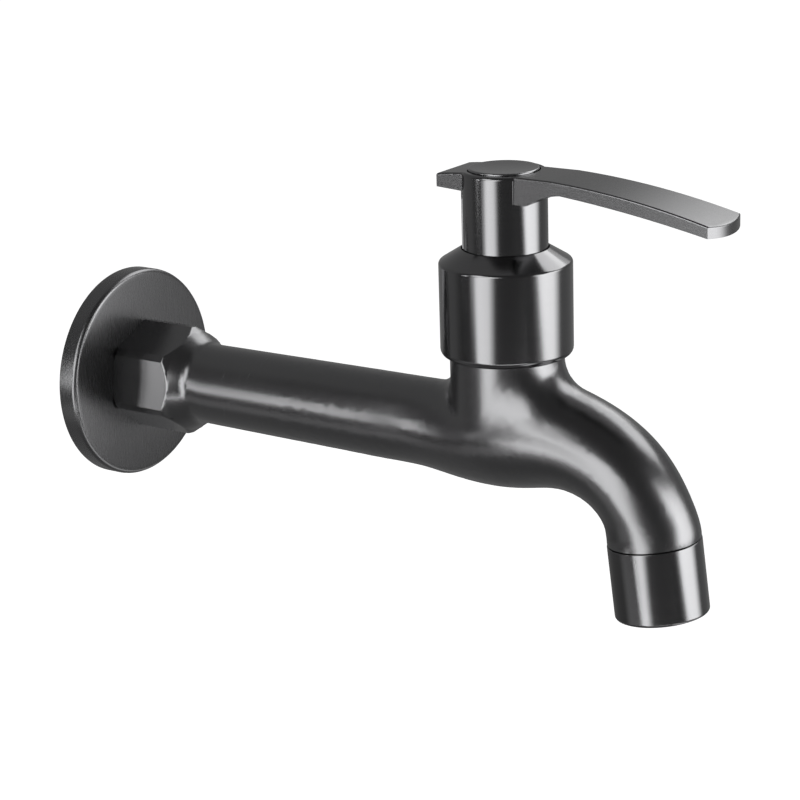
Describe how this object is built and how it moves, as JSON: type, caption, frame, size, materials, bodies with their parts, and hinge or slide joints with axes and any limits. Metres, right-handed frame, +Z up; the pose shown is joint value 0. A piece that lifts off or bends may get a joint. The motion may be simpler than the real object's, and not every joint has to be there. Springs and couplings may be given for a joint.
{
  "type": "washing machine tap",
  "caption": "Wall-mounted quarter-turn tap for a washing machine, with a lever, a long body, a bent spout and a straight outlet nozzle",
  "frame": {"origin": "where the inlet axis meets the plane of the wall", "axes": "+X out of the wall along the inlet axis, +Y across the tap, +Z up along the valve axis"},
  "size_m": [0.2106, 0.0602, 0.1143],
  "materials": {
    "body_metal": "brushed",
    "flange_metal": "brushed",
    "sleeve_metal": "brushed",
    "handle_metal": "brushed",
    "nozzle_metal": "brushed",
    "raw_brass": "turned",
    "steel": "plain",
    "rubber": "matt",
    "ceramic": "lapped",
    "white_plastic": "matt"
  },
  "bodies": {
    "tap": {"tap_body": "body_metal", "wall_flange": "flange_metal", "valve_sleeve": "sleeve_metal", "headwork_housing": "raw_brass", "headwork_gasket": "rubber", "seat_seal": "rubber", "fixed_disc": "ceramic", "aerator_housing": "nozzle_metal", "aerator_washer": "rubber", "aerator_filter": "white_plastic", "aerator_core": "white_plastic", "aerator_screen": "steel"},
    "handle": {"handle_hub": "handle_metal", "handle_lever": "handle_metal", "handle_cap": "handle_metal", "handle_screw": "steel", "spindle": "raw_brass", "moving_disc": "ceramic", "spindle_clip": "steel", "spindle_o_ring_lower": "rubber", "spindle_o_ring_upper": "rubber", "thrust_washer": "white_plastic"}
  },
  "joints": [
    {"name": "handle_turn", "type": "hinge", "parent": "tap", "child": "handle", "pos_m": [0.1308, 0, 0.06], "axis": [0, 0, 1], "range_deg": [0, 90]}
  ]
}
